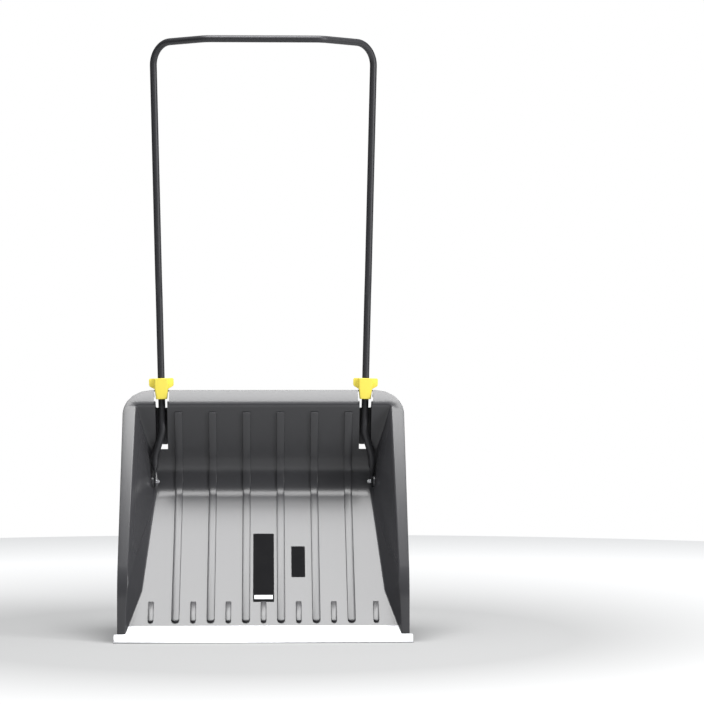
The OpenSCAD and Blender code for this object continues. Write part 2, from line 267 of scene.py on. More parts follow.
def to_object(bm: bmesh.types.BMesh, name: str, smooth: float = 35.0) -> bpy.types.Object:
    """Turns a bmesh into a linked object at the origin.

    Args:
        bm: The mesh under construction, which is freed.
        name: Name of the new object.
        smooth: Largest angle in degrees over which shading runs smooth.

    Returns:
        The new object.
    """
    bm.normal_update()
    for f in bm.faces:
        f.smooth = True
    for e in bm.edges:
        e.smooth = len(e.link_faces) != 2 or e.calc_face_angle(0.0) < math.radians(smooth)
    mesh = bpy.data.meshes.new(name)
    bm.to_mesh(mesh)
    bm.free()
    obj = bpy.data.objects.new(name, mesh)
    bpy.context.scene.collection.objects.link(obj)
    return obj


def evaluated(obj: bpy.types.Object) -> bmesh.types.BMesh:
    """Returns the object's mesh with its modifiers applied, and removes the object."""
    graph = bpy.context.evaluated_depsgraph_get()
    bm = bmesh.new()
    bm.from_object(obj, graph)
    bpy.data.objects.remove(obj, do_unlink=True)
    return bm


def absorb(bm: bmesh.types.BMesh, part: bmesh.types.BMesh) -> None:
    """Adds a finished part to a mesh under construction, and frees the part."""
    mesh = bpy.data.meshes.new("part")
    part.to_mesh(mesh)
    part.free()
    bm.from_mesh(mesh)
    bpy.data.meshes.remove(mesh)


def polygon_prism(bm: bmesh.types.BMesh, outline: Sequence[Vector], sweep: Vector) -> None:
    """Adds a flat outline and extrudes it.

    Args:
        bm: Mesh to add to.
        outline: Corners of the outline.
        sweep: How far the outline is moved.
    """
    face = bm.faces.new([bm.verts.new(p) for p in outline])
    grown = bmesh.ops.extrude_face_region(bm, geom=[face], use_keep_orig=True)["geom"]
    top = [g for g in grown if isinstance(g, bmesh.types.BMVert)]
    bmesh.ops.translate(bm, verts=top, vec=sweep)


def extrude(bm: bmesh.types.BMesh, edges: Sequence[bmesh.types.BMEdge], move: Vector = Vector()
            ) -> tuple[list[bmesh.types.BMEdge], list[bmesh.types.BMVert]]:
    """Extrudes edges and moves them; returns the new edges and vertices."""
    grown = bmesh.ops.extrude_edge_only(bm, edges=edges)["geom"]
    verts = [g for g in grown if isinstance(g, bmesh.types.BMVert)]
    far = set(verts)
    bmesh.ops.translate(bm, verts=verts, vec=move)
    return [g for g in grown if isinstance(g, bmesh.types.BMEdge) and set(g.verts) <= far], verts


def rounded(bm: bmesh.types.BMesh, edges: Iterable[bmesh.types.BMEdge], width: float,
            segments: int) -> None:
    """Bevels edges with a round profile."""
    bmesh.ops.bevel(bm, geom=list(edges), offset=width, offset_type="OFFSET", segments=segments,
                    profile=0.5, affect="EDGES", material=-1, clamp_overlap=True)


def sharp_edges(bm: bmesh.types.BMesh, angle: float = 30.0) -> list[bmesh.types.BMEdge]:
    """Returns the edges whose faces meet at more than an angle in degrees."""
    return [e for e in bm.edges
            if len(e.link_faces) == 2 and e.calc_face_angle(0.0) > math.radians(angle)]


def lathe(bm: bmesh.types.BMesh, profile: Sequence[tuple[float, float]], centre: Vector, axis: Vector,
          steps: int = 32) -> None:
    """Turns a profile of (radius, distance along the axis) about an axis.

    Args:
        bm: Mesh to add to.
        profile: Points of the profile.
        centre: Point on the axis where the distance is 0.
        axis: Direction of the axis.
        steps: Number of faces around.
    """
    before = set(bm.verts)
    side = axis.orthogonal().normalized()
    verts = [bm.verts.new(centre + axis * z + side * r) for r, z in profile]
    edges = [bm.edges.new(pair) for pair in zip(verts, verts[1:])]
    bmesh.ops.spin(bm, geom=[*verts, *edges], cent=centre, axis=axis, angle=math.tau, steps=steps,
                   use_merge=True)
    bmesh.ops.remove_doubles(bm, verts=[v for v in bm.verts if v not in before], dist=1e-6)


# ---------------------------------------------------------------------------
# Finishes
# ---------------------------------------------------------------------------


def noise(tree: bpy.types.NodeTree, scale: float, detail: float, stretch: Vector,
          turn: float = 0.0) -> bpy.types.NodeSocket:
    """Adds a noise on Object coordinates.

    Args:
        tree: Node tree to add to.
        scale: Scale of the noise, per metre.
        detail: Octaves.
        stretch: Scale of the coordinates along each axis.
        turn: Turn of the coordinates about X, in degrees.

    Returns:
        The noise's value, from 0 to 1.
    """
    coords = tree.nodes.new("ShaderNodeTexCoord")
    mapping = tree.nodes.new("ShaderNodeMapping")
    mapping.inputs["Scale"].default_value = stretch
    mapping.inputs["Rotation"].default_value = (math.radians(turn), 0.0, 0.0)
    texture = tree.nodes.new("ShaderNodeTexNoise")
    texture.inputs["Scale"].default_value = scale
    texture.inputs["Detail"].default_value = detail
    tree.links.new(coords.outputs["Object"], mapping.inputs["Vector"])
    tree.links.new(mapping.outputs["Vector"], texture.inputs["Vector"])
    return texture.outputs["Fac"]


def spread(tree: bpy.types.NodeTree, value: bpy.types.NodeSocket, low: float, high: float,
           start: float = 0.0, end: float = 1.0) -> bpy.types.NodeSocket:
    """Maps a value from start..end to low..high."""
    node = tree.nodes.new("ShaderNodeMapRange")
    for label, number in (("From Min", start), ("From Max", end), ("To Min", low), ("To Max", high)):
        node.inputs[label].default_value = number
    tree.links.new(value, node.inputs["Value"])
    return node.outputs["Result"]


class Wear:
    """Node group shared by all finishes: the scuffs of use."""

    tree: bpy.types.NodeTree | None = None

    @classmethod
    def group(cls) -> bpy.types.NodeTree:
        """Builds the group once: a mask of scuffs on Object coordinates."""
        if cls.tree is None:
            tree = bpy.data.node_groups.new("wear_marks", "ShaderNodeTree")
            tree.interface.new_socket("Scuffs", in_out="OUTPUT", socket_type="NodeSocketFloat")
            out = tree.nodes.new("NodeGroupOutput")
            fine = noise(tree, 90.0, 4.0, Vector((0.25, 2.0, 2.0)), 43.9)
            broad = noise(tree, 5.0, 2.0, Vector((1.0, 1.0, 1.0)))
            lines = spread(tree, fine, 0.0, 1.0, 0.62, 0.72)
            patches = spread(tree, broad, 0.0, 1.0, 0.45, 0.65)
            both = tree.nodes.new("ShaderNodeMath")
            both.operation = "MULTIPLY"
            tree.links.new(lines, both.inputs[0])
            tree.links.new(patches, both.inputs[1])
            tree.links.new(both.outputs[0], out.inputs["Scuffs"])
            cls.tree = tree
        return cls.tree


@dataclass(frozen=True)
class Finish:
    """One material of the pusher.

    Attributes:
        name: Name of the material.
        colour: Base colour, linear.
        roughness: Middle roughness.
        grain: How the surface is broken up.
        metallic: Metallic value.
        coat: Weight of the clear coat.
        grain_scale: Scale of the grain, per metre.
        grain_height: Strength of the grain's bump.
        worn: Colour that scuffs turn towards.
        worn_share: How far scuffs turn the colour.
        specular: Specular level.
    """

    name: str
    colour: tuple[float, float, float]
    roughness: float
    grain: Grain
    metallic: float = 0.0
    coat: float = 0.0
    grain_scale: float = 900.0
    grain_height: float = 0.05
    worn: tuple[float, float, float] = (0.25, 0.25, 0.26)
    worn_share: float = 0.2
    specular: float = 0.5

    def build(self) -> bpy.types.Material:
        """Makes the material, or returns it if it is there already."""
        known = bpy.data.materials.get(self.name)
        if known is not None:
            return known
        material = bpy.data.materials.new(self.name)
        material.use_nodes = True
        tree = material.node_tree
        shader = tree.nodes["Principled BSDF"]
        shader.inputs["Metallic"].default_value = self.metallic
        shader.inputs["Coat Weight"].default_value = self.coat
        shader.inputs["Coat Roughness"].default_value = 0.08
        shader.inputs["Specular IOR Level"].default_value = self.specular
        wear = tree.nodes.new("ShaderNodeGroup")
        wear.node_tree = Wear.group()
        stretch = Vector((0.03, 1.0, 1.0)) if self.grain is Grain.BRUSHED else Vector((1.0, 1.0, 1.0))
        fine = noise(tree, self.grain_scale, 3.0, stretch)
        blotch = noise(tree, 14.0, 2.0, stretch)
        self._colour(tree, shader, wear, blotch)
        self._roughness(tree, shader, wear, blotch)
        bump = tree.nodes.new("ShaderNodeBump")
        bump.inputs["Strength"].default_value = self.grain_height
        bump.inputs["Distance"].default_value = 0.0004
        tree.links.new(fine, bump.inputs["Height"])
        tree.links.new(bump.outputs["Normal"], shader.inputs["Normal"])
        return material

    def _colour(self, tree: bpy.types.NodeTree, shader: bpy.types.Node, wear: bpy.types.Node,
                blotch: bpy.types.NodeSocket) -> None:
        """Links the base colour: uneven pigment, paler where it is scuffed."""
        ramp = tree.nodes.new("ShaderNodeValToRGB")
        ramp.color_ramp.elements[0].position = 0.3
        ramp.color_ramp.elements[1].position = 0.7
        ramp.color_ramp.elements[0].color = (*[c * 0.93 for c in self.colour], 1)
        ramp.color_ramp.elements[1].color = (*[min(1.0, c * 1.06) for c in self.colour], 1)
        tree.links.new(blotch, ramp.inputs["Fac"])
        mix = tree.nodes.new("ShaderNodeMix")
        mix.data_type = "RGBA"
        mix.inputs["B"].default_value = (*self.worn, 1)
        share = spread(tree, wear.outputs["Scuffs"], 0.0, self.worn_share)
        tree.links.new(share, mix.inputs["Factor"])
        tree.links.new(ramp.outputs["Color"], mix.inputs["A"])
        tree.links.new(mix.outputs["Result"], shader.inputs["Base Color"])

    def _roughness(self, tree: bpy.types.NodeTree, shader: bpy.types.Node, wear: bpy.types.Node,
                   blotch: bpy.types.NodeSocket) -> None:
        """Links the roughness: smoother and duller patches, and dull scuffs."""
        patches = spread(tree, blotch, self.roughness * 0.85, self.roughness * 1.15, 0.3, 0.7)
        scuffs = spread(tree, wear.outputs["Scuffs"], 0.0, 0.12)
        both = tree.nodes.new("ShaderNodeMath")
        both.operation = "ADD"
        tree.links.new(patches, both.inputs[0])
        tree.links.new(scuffs, both.inputs[1])
        tree.links.new(both.outputs[0], shader.inputs["Roughness"])

    def dress(self, obj: bpy.types.Object) -> bpy.types.Object:
        """Gives an object this finish."""
        obj.data.materials.clear()
        obj.data.materials.append(self.build())
        return obj


MOULDING = Finish("moulded_black", (0.009, 0.0094, 0.0105), 0.24, Grain.MOULDED, specular=0.19,
                  grain_scale=700.0, grain_height=0.05, worn=(0.05, 0.05, 0.052), worn_share=0.2)
STRIP = Finish("strip_metal", (0.74, 0.75, 0.77), 0.42, Grain.BRUSHED, metallic=0.85,
               grain_scale=1400.0, grain_height=0.08, worn=(0.62, 0.63, 0.65), worn_share=0.5)
RIVETS = Finish("rivet_metal", (0.8, 0.81, 0.82), 0.35, Grain.COATED, metallic=0.9,
                grain_height=0.04, worn=(0.5, 0.5, 0.52), worn_share=0.4)
TUBE = Finish("tube_black", (0.009, 0.009, 0.010), 0.20, Grain.COATED, coat=0.15,
              grain_scale=600.0, grain_height=0.02, worn=(0.05, 0.05, 0.05), worn_share=0.2, specular=0.3)
COLLAR = Finish("collar_yellow", (0.74, 0.56, 0.055), 0.4, Grain.MOULDED, coat=0.1,
                grain_scale=800.0, grain_height=0.05, worn=(0.45, 0.34, 0.04), worn_share=0.3)
ZINC = Finish("zinc_steel", (0.74, 0.75, 0.77), 0.3, Grain.COATED, metallic=1.0,
              grain_height=0.05, worn=(0.4, 0.38, 0.35), worn_share=0.5)
FILM = Finish("label_film", (0.010, 0.010, 0.011), 0.8, Grain.COATED,
              grain_height=0.02, worn_share=0.06, specular=0.06)
PRINT = Finish("label_white", (0.82, 0.84, 0.87), 0.4, Grain.COATED,
               grain_height=0.02, worn=(0.6, 0.6, 0.62), worn_share=0.3)


# ---------------------------------------------------------------------------
# Scoop
# ---------------------------------------------------------------------------


@dataclass
class Scoop:
    """The moulding: basin, rim and skirt, ribs, leg housings and pivot bosses."""

    view: SideView
    rim_half: float = 0.363
    overhang: float = 0.040
    side_taper: float = 4.3
    side_lean: float = 15.1
    splay_u: float = 0.174
    splay_taper: float = 14.5
    splay_lean: float = 9.1
    corner_r: float = 0.072
    skirt: float = 0.030
    skirt_tip: float = 0.005
    slot_half: float = 0.0155
    notch_half: float = 0.0195
    slot_low: float = 0.464402
    notch_low: float = 0.592618
    housing_back: float = 0.16932
    housing_top: float = 0.590

    def _flanks(self) -> list[tuple[float, float, float]]:
        """Half width at the strip's edge, and the tangents of the taper and the lean, of each stretch.

        The rear stretch of a side wall comes first and the splayed front stretch second, both for the
        wall's inner face.
        """
        half = self.rim_half - self.overhang
        rear, front = (math.tan(math.radians(taper)) for taper in (self.side_taper, self.splay_taper))
        reach = (front - rear) * self.splay_u
        parts = []
        for hw, taper, lean in ((half, self.side_taper, self.side_lean),
                                (half + reach, self.splay_taper, self.splay_lean)):
            tt, tl = math.tan(math.radians(taper)), math.tan(math.radians(lean))
            parts.append((hw - self.view.wall * math.sqrt(1 + tt * tt + tl * tl), tt, tl))
        return parts

    def _cut(self, bm: bmesh.types.BMesh, point: Vector, normal: Vector) -> None:
        """Cuts away what lies beyond a plane and closes the cut."""
        cut = bmesh.ops.bisect_plane(bm, geom=[*bm.verts, *bm.edges, *bm.faces], plane_co=point,
                                     plane_no=normal, dist=1e-6, clear_outer=True)["geom_cut"]
        bmesh.ops.contextual_create(bm, geom=[g for g in cut if isinstance(g, bmesh.types.BMEdge)])

    def _half_cage(self, bm: bmesh.types.BMesh, part: int, fold: tuple[Vector, Vector]) -> None:
        """Adds one stretch of the basin's inner surface, behind or in front of the side walls' fold.

        Args:
            bm: Mesh to add to.
            part: 0 for the rear stretch, 1 for the splayed front stretch.
            fold: Point and rearward normal of the plane that holds the fold of both side walls.
        """
        v = self.view
        piece = bmesh.new()
        outline = [*v.inner_profile(v.wall), *v.rim_profile()[:-1]]
        polygon_prism(piece, [Vector((-0.5, p.x, p.y)) for p in outline], Vector((1.0, 0, 0)))
        bmesh.ops.recalc_face_normals(piece, faces=piece.faces[:])
        point, normal = fold
        keep = normal if part == 1 else -normal
        self._cut(piece, point, keep)
        hw, tt, tl = self._flanks()[part]
        flat = v.run * tt - v.up * tl
        for side in (-1, 1):
            self._cut(piece, v.on_floor(side * hw, 0, 0), Vector((side, flat.x, flat.y)).normalized())
        bmesh.ops.recalc_face_normals(piece, faces=piece.faces[:])
        piece.normal_update()
        out = Vector((0, v.rim_out.x, v.rim_out.y))
        gone = [f for f in piece.faces if f.normal.dot(out) > 0.5 or f.normal.dot(keep) > 0.999]
        bmesh.ops.delete(piece, geom=gone, context="FACES")
        absorb(bm, piece)

    def _cage(self) -> bmesh.types.BMesh:
        """Builds the basin's inner surface, an open sheet whose side walls fold outwards in front."""
        v = self.view
        (hw, tt, tl), (hw2, tt2, tl2) = self._flanks()
        across = v.run * (tt2 - tt) - v.up * (tl2 - tl)
        foot = v.base + across * ((hw2 - hw) / across.length_squared)
        fold = (Vector((0, foot.x, foot.y)), Vector((0, across.x, across.y)).normalized())
        bm = bmesh.new()
        for part in (0, 1):
            self._half_cage(bm, part, fold)
        bmesh.ops.remove_doubles(bm, verts=bm.verts[:], dist=2e-5)
        bmesh.ops.reverse_faces(bm, faces=bm.faces[:])
        return bm

    def _along(self, point: Vector) -> float:
        """Distance of a point uphill along the rim from the slope's lower end."""
        return (Vector((point.y, point.z)) - self.view.rim_start).dot(self.view.rim_run)

    def _round_creases(self, bm: bmesh.types.BMesh) -> bmesh.types.BMesh:
        """Rounds the creases of the basin: tight along the floor, wide up the back corners."""
        inner = self.view.inner_profile(self.view.wall)
        layer = bm.edges.layers.float.new("bevel_weight_edge")
        for e in bm.edges:
            if len(e.link_faces) == 2 and e.calc_face_angle(0.0) > math.radians(35):
                mid = (e.verts[0].co + e.verts[1].co) / 2
                climb = (mid.y - inner[1].x) / (inner[-2].x - inner[1].x)
                e[layer] = (0.008 + 0.030 * max(0.0, min(1.0, climb))) / 0.038
        return self._bevelled(bm, 0.038, 6)

    @staticmethod
    def _bevelled(bm: bmesh.types.BMesh, width: float, segments: int) -> bmesh.types.BMesh:
        """Applies a bevel whose width on each edge is its weight's share of a width."""
        cage = to_object(bm, "cage")
        bevel = cage.modifiers.new("rounding", "BEVEL")
        bevel.limit_method = "WEIGHT"
        bevel.offset_type = "OFFSET"
        bevel.width = width
        bevel.segments = segments
        bevel.use_clamp_overlap = True
        bpy.context.view_layer.update()
        out = evaluated(cage)
        bmesh.ops.remove_doubles(out, verts=out.verts[:], dist=1e-5)
        out.normal_update()
        return out

    def _open_edges(self, bm: bmesh.types.BMesh) -> list[bmesh.types.BMEdge]:
        """Returns the basin's open edges, without the floor's front edge."""
        v = self.view
        low = v.inner_profile(v.wall)[0]
        kept = []
        for e in bm.edges:
            if len(e.link_faces) == 1:
                ends = [(Vector((w.co.y, w.co.z)) - low).dot(v.run) for w in e.verts]
                if max(abs(end) for end in ends) > 0.0005:
                    kept.append(e)
        return kept

    def _outline_place(self, vert: bmesh.types.BMVert, corner: dict[bmesh.types.BMVert, float]) -> Vector:
        """Place on the rim's outer outline for a vertex of the basin's open edge."""
        v, side = self.view, (1 if vert.co.x > 0 else -1)
        if vert in corner:
            turn = math.radians(90 * corner[vert])
            x = self.rim_half - self.corner_r * (1 - math.sin(turn))
            return v.on_rim(side * x, v.rim_l - self.corner_r * (1 - math.cos(turn)))
        return Vector((side * self.rim_half, vert.co.y, vert.co.z))

    def _corner_shares(self, bm: bmesh.types.BMesh) -> dict[bmesh.types.BMVert, float]:
        """How far round its rear corner each open vertex is, from 0 at the rear to 1 at the side."""
        rim = unique(w for e in self._open_edges(bm) for w in e.verts)
        top = max(self._along(w.co) for w in rim)
        shares: dict[bmesh.types.BMVert, float] = {}
        for side in (-1, 1):
            arc = sorted((w for w in rim if w.co.x * side > 0.2 and self._along(w.co) > top - 0.07),
                         key=lambda w: abs(w.co.x) - self._along(w.co))
            lengths = [0.0]
            for one, two in zip(arc, arc[1:]):
                lengths.append(lengths[-1] + (one.co - two.co).length)
            for w, length in zip(arc, lengths):
                shares[w] = length / lengths[-1]
        return shares

    def _add_rim(self, bm: bmesh.types.BMesh) -> bmesh.types.BMesh:
        """Grows the flange out of the basin's open edge, and the skirt down from the flange."""
        v = self.view
        shares = self._corner_shares(bm)
        edges = self._open_edges(bm)
        inner = unique(w for e in edges for w in e.verts)
        places = {w.index: (w.co.copy(), self._outline_place(w, shares)) for w in inner}
        outer_edges, outer = extrude(bm, edges)
        for vert in outer:
            vert.co = min(places.values(), key=lambda pair: (pair[0] - vert.co).length)[1]
        for vert in extrude(bm, outer_edges)[1]:
            flat = Vector((vert.co.y, vert.co.z))
            if self._along(vert.co) >= -1e-4:
                push = v.rim_out * self.skirt
            else:
                reach = max(0.0, min(1.0, (flat.y - v.tip.y) / (v.rim_start.y - v.tip.y)))
                depth = self.skirt_tip + (self.skirt - self.skirt_tip) * reach
                push = (flat - v.bend_centre).normalized() * depth
            vert.co -= Vector((0, push.x, push.y))
        bm.normal_update()
        layers = bm.edges.layers.float
        layer = layers.get("bevel_weight_edge") or layers.new("bevel_weight_edge")
        top = max(self._along(w.co) for w in inner)
        for e in bm.edges:
            e[layer] = 0.0
        for e in edges:
            mid = (e.verts[0].co + e.verts[1].co) / 2
            near = max(0.0, min(1.0, 1 - (top - self._along(mid)) / 0.045))
            e[layer] = (0.006 + 0.018 * near) / 0.024
        for e in outer_edges:
            e[layer] = 0.0032 / 0.024
        return self._bevelled(bm, 0.024, 4)

    def _cut_slots(self, bm: bmesh.types.BMesh) -> None:
        """Opens a channel for each leg in the back wall and a notch in the rear rim."""
        rear = self.view.heel_centre.x - 0.08
        foot = self.view.heel_centre.y + 0.02
        lean = heading(self.view.back_lean).x
        for side in (-1, 1):
            for half, low in ((self.slot_half, self.slot_low), (self.notch_half, self.notch_low)):
                for point, normal in ((Vector((side * LEG_X - half, 0, 0)), Vector((1, 0, 0))),
                                      (Vector((side * LEG_X + half, 0, 0)), Vector((1, 0, 0))),
                                      (Vector((0, 0, low)), Vector((0, 0, 1)))):
                    near = []
                    for f in bm.faces:
                        mid = f.calc_center_median()
                        facing = (f.normal.y * lean) ** 2 > 0.02
                        if abs(mid.x - side * LEG_X) < 0.35 and mid.y > rear and mid.z > foot and facing:
                            near.append(f)
                    edges = unique(e for f in near for e in f.edges)
                    verts = unique(w for f in near for w in f.verts)
                    bmesh.ops.bisect_plane(bm, geom=[*near, *edges, *verts], plane_co=point, plane_no=normal,
                                           dist=1e-6)
                inside = []
                for f in bm.faces:
                    mid = f.calc_center_median()
                    if abs(mid.x - side * LEG_X) < half and mid.z > low and mid.y > rear:
                        inside.append(f)
                bmesh.ops.delete(bm, geom=inside, context="FACES")

    def _shell(self) -> bpy.types.Object:
        """Basin, flange and skirt as one wall."""
        bm = self._add_rim(self._round_creases(self._cage()))
        self._cut_slots(bm)
        shell = to_object(bm, "scoop_shell", 28)
        solid = shell.modifiers.new("wall", "SOLIDIFY")
        solid.thickness = self.view.wall - 0.0003
        solid.offset = -1.0
        solid.use_even_offset = True
        solid.use_quality_normals = True
        bpy.context.view_layer.update()
        bm = evaluated(shell)
        return to_object(bm, "scoop_shell", 28)

    def _rib_path(self, start: float, top: float) -> list[Vector]:
        """Side-view line of a long rib's crest, from its lower end up the back wall."""
        v = self.view
        inner = v.inner_profile(v.wall + RIDGE, 16)
        first = v.base + v.run * start + v.up * (v.wall + RIDGE)
        climb = (inner[-1] - inner[-2]).normalized()
        last = inner[-2] + climb * ((top - inner[-2].y) / climb.y)
        return [first, *inner[1:-1], last]

    def _ribs(self) -> bpy.types.Object:
        """Six long ribs up the floor and back wall, and seven short ones between their lower ends."""
        bm = bmesh.new()
        pitch, low, top, short_top, end_share = 0.088, 0.067, 0.562, 0.132, 3.2
        for i in range(6):
            self._bar(bm, (i - 2.5) * pitch, 0.020, self._rib_path(low, top))
        v = self.view
        crest = v.base + v.up * (v.wall + RIDGE)
        for place in (-end_share, -2, -1, 0, 1, 2, end_share):
            self._bar(bm, place * pitch, 0.014, [crest + v.run * low, crest + v.run * short_top])
        return to_object(bm, "floor_ribs", 40)

    def _bar(self, bm: bmesh.types.BMesh, x: float, width: float, path: Sequence[Vector]) -> None:
        """Adds one rib: a rounded bar along a line, with a round lower end.

        Args:
            bm: Mesh to add to.
            x: Middle of the rib.
            width: Width of the rib.
            path: Side-view line of its crest.
        """
        part = bmesh.new()
        verts = [part.verts.new((x - width / 2, p.x, p.y)) for p in path]
        edges = [part.edges.new(pair) for pair in zip(verts, verts[1:])]
        extrude(part, edges, Vector((width, 0, 0)))
        bmesh.ops.recalc_face_normals(part, faces=part.faces[:])
        part.normal_update()
        if part.faces[:][0].normal.dot(Vector((0, self.view.up.x, self.view.up.y))) < 0:
            bmesh.ops.reverse_faces(part, faces=part.faces[:])
        corners = [w for w in part.verts if (Vector((w.co.y, w.co.z)) - path[0]).length < 1e-6]
        bmesh.ops.bevel(part, geom=corners, offset=width * 0.46, segments=5, profile=0.5,
                        affect="VERTICES", material=-1)
        bmesh.ops.solidify(part, geom=part.faces[:], thickness=0.0075)
        bmesh.ops.recalc_face_normals(part, faces=part.faces[:])
        rounded(part, sharp_edges(part, 50), 0.0016, 2)
        absorb(bm, part)

    def _housings(self) -> bpy.types.Object:
        """Open box behind the back wall for each leg."""
        v = self.view
        back, low, top = self.housing_back, self.slot_low, self.housing_top
        out = heading(v.back_lean)
        plane = v.heel_centre + out * (v.heel_r - 0.001)
        bm = bmesh.new()
        for side in (-1, 1):
            part = bmesh.new()
            x = side * LEG_X
            outline = [(back, low), (back, top - 0.016), (back - 0.024, top), (0.02, top), (0.02, low)]
            polygon_prism(part, [Vector((x - self.slot_half, y, z)) for y, z in outline],
                          Vector((2 * self.slot_half, 0, 0)))
            merged(part)
            bmesh.ops.bisect_plane(part, geom=[*part.verts, *part.edges, *part.faces], dist=1e-6,
                                   plane_co=Vector((0, plane.x, plane.y)),
                                   plane_no=Vector((0, out.x, out.y)), clear_inner=True)
            lid = [f for f in part.faces if f.normal.z > 0.3]
            bmesh.ops.delete(part, geom=lid, context="FACES")
            level = [e for e in sharp_edges(part, 40) if abs((e.verts[0].co - e.verts[1].co).x) < 1e-4]
            rounded(part, level, 0.003, 2)
            bmesh.ops.recalc_face_normals(part, faces=part.faces[:])
            bmesh.ops.solidify(part, geom=part.faces[:], thickness=-0.0037)
            bmesh.ops.recalc_face_normals(part, faces=part.faces[:])
            absorb(bm, part)
        return to_object(bm, "leg_housings", 40)

    def _bosses(self, pivot: Vector, inner: float, outer: float) -> bpy.types.Object:
        """Round bosses around the pivot bolts, inside and outside of the side walls."""
        bm = bmesh.new()
        for side in (-1, 1):
            axis = Vector((side, 0, 0))
            centre = Vector((0, pivot.x, pivot.y))
            middle = (inner + outer) / 2
            lathe(bm, [(0.0031, inner), (0.0138, inner), (0.0150, inner + 0.0012), (0.0150, middle),
                       (0.0080, middle), (0.0080, outer - 0.0008), (0.0072, outer), (0.0031, outer),
                       (0.0031, inner)], centre, axis)
        merged(bm, 1e-6)
        return to_object(bm, "pivot_bosses", 35)

    def build(self, pivot: Vector, boss_inner: float, boss_outer: float) -> None:
        """Makes all of the scoop's pieces and hangs them on its body."""
        shell = self._shell()
        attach(MOULDING.dress(shell), "scoop")
        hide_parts("scoop")
        for piece in (self._ribs(), self._housings(), self._bosses(pivot, boss_inner, boss_outer)):
            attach(MOULDING.dress(piece), "scoop")
        LOG.info("scoop: 4 pieces")


# ---------------------------------------------------------------------------
# Strip, labels and fasteners
# ---------------------------------------------------------------------------


@dataclass
class WearStrip:
    """The metal strip along the front edge, with its rivets."""

    view: SideView
    half: float = 0.371
    length: float = 0.054
    thickness: float = 0.003
    wide: float = 0.0270
    inner_half: tuple[float, float] = (0.3421, 0.3352)

    def build(self) -> None:
        """Makes the strip and dresses its rivets and washers."""
        v = self.view
        low, high = self.inner_half
        right = [(self.half, 0.0), (self.half, self.wide), (low, self.wide), (high, self.length)]
        outline = [*right, *[(-x, u) for x, u in reversed(right)]]
        bm = bmesh.new()
        polygon_prism(bm, [v.on_floor(x, u, v.bed) for x, u in outline],
                      Vector((0, v.up.x, v.up.y)) * self.thickness)
        merged(bm)
        rounded(bm, sharp_edges(bm, 40), 0.0005, 2)
        strip = STRIP.dress(to_object(bm, "metal_strip", 40))
        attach(strip, "scoop")
        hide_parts("wear_strip")
        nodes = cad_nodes()
        RIVETS.dress(nodes["rivet_washers"])
        RIVETS.dress(nodes["strip_rivets"])
        LOG.info("wear strip: 1 piece, 2 dressed nodes")


@dataclass
class Labels:
    """The two printed films on the floor."""

    view: SideView
    film: float = 0.0003

    def _plate(self, name: str, x: float, u: float, w: float, length: float, h: float) -> bpy.types.Object:
        """Thin film with rounded corners.

        Args:
            name: Name of the piece.
            x: Middle of the film.
            u: Lower end, uphill from the strip's edge.
            w: Width.
            length: Length uphill.
            h: Height over the floor's underside.

        Returns:
            The film.
        """
        v = self.view
        bm = bmesh.new()
        corners = [(x - w / 2, u), (x + w / 2, u), (x + w / 2, u + length), (x - w / 2, u + length)]
        polygon_prism(bm, [v.on_floor(a, b, h) for a, b in corners],
                      Vector((0, v.up.x, v.up.y)) * self.film)
        merged(bm, 1e-6)
        upright = [e for e in bm.edges if abs(e.calc_length() - self.film) < 1e-6]
        rounded(bm, upright, min(w, length) * 0.06, 4)
        return to_object(bm, name, 40)

    def build(self) -> None:
        """Makes both films and the white bar on the long one."""
        base = self.view.bed
        made = [
            ("long_film", "long_label", FILM, (0.0, 0.134, 0.053, 0.230, base)),
            ("small_film", "small_label", FILM, (0.088, 0.216, 0.035, 0.104, base)),
            ("long_film_bar", None, PRINT, (0.0, 0.143, 0.046, 0.013, base + 0.00022)),
        ]
        for name, node, finish, place in made:
            film = finish.dress(self._plate(name, *place))
            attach(film, "scoop")
            if node:
                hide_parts(node)
        LOG.info("labels: %d films", len(made))


@dataclass
class PivotHardware:
    """Bolts, washers and lock nuts at the two pivots."""

    centre: Vector
    seat: float
    end: float
    bolt_r: float = 0.003

    def build(self) -> None:
        """Makes round-headed bolts and dresses the washers and nuts."""
        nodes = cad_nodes()
        r, head = self.bolt_r, self.bolt_r * 1.9
        for side in Side:
            bm = bmesh.new()
            rise = 0.0032
            dome = [(head * math.cos(a), self.seat + rise * (0.25 + 0.75 * math.sin(a)))
                    for a in [math.radians(15 * i) for i in range(1, 5)]]
            profile = [(0.0, self.end), (r - 0.0004, self.end), (r, self.end + 0.0004), (r, self.seat),
                       (head, self.seat), (head, self.seat + rise * 0.25), *dome,
                       (0.0022, self.seat + rise), (0.0019, self.seat + rise - 0.0012),
                       (0.0, self.seat + rise - 0.0012)]
            lathe(bm, profile, Vector((0, self.centre.x, self.centre.y)), Vector((side.value, 0, 0)), 28)
            merged(bm, 1e-7)
            bolt = ZINC.dress(to_object(bm, f"{side.name.lower()}_bolt", 35))
            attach(bolt, "scoop")
            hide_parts(f"pivot_bolt_{side.name.lower()}")
            for node in ("bolt_washer", "lock_nut"):
                ZINC.dress(nodes[f"{node}_{side.name.lower()}"])
        LOG.info("pivot hardware: 2 bolts, 4 dressed nodes")


# ---------------------------------------------------------------------------
# Handle and collars
# ---------------------------------------------------------------------------


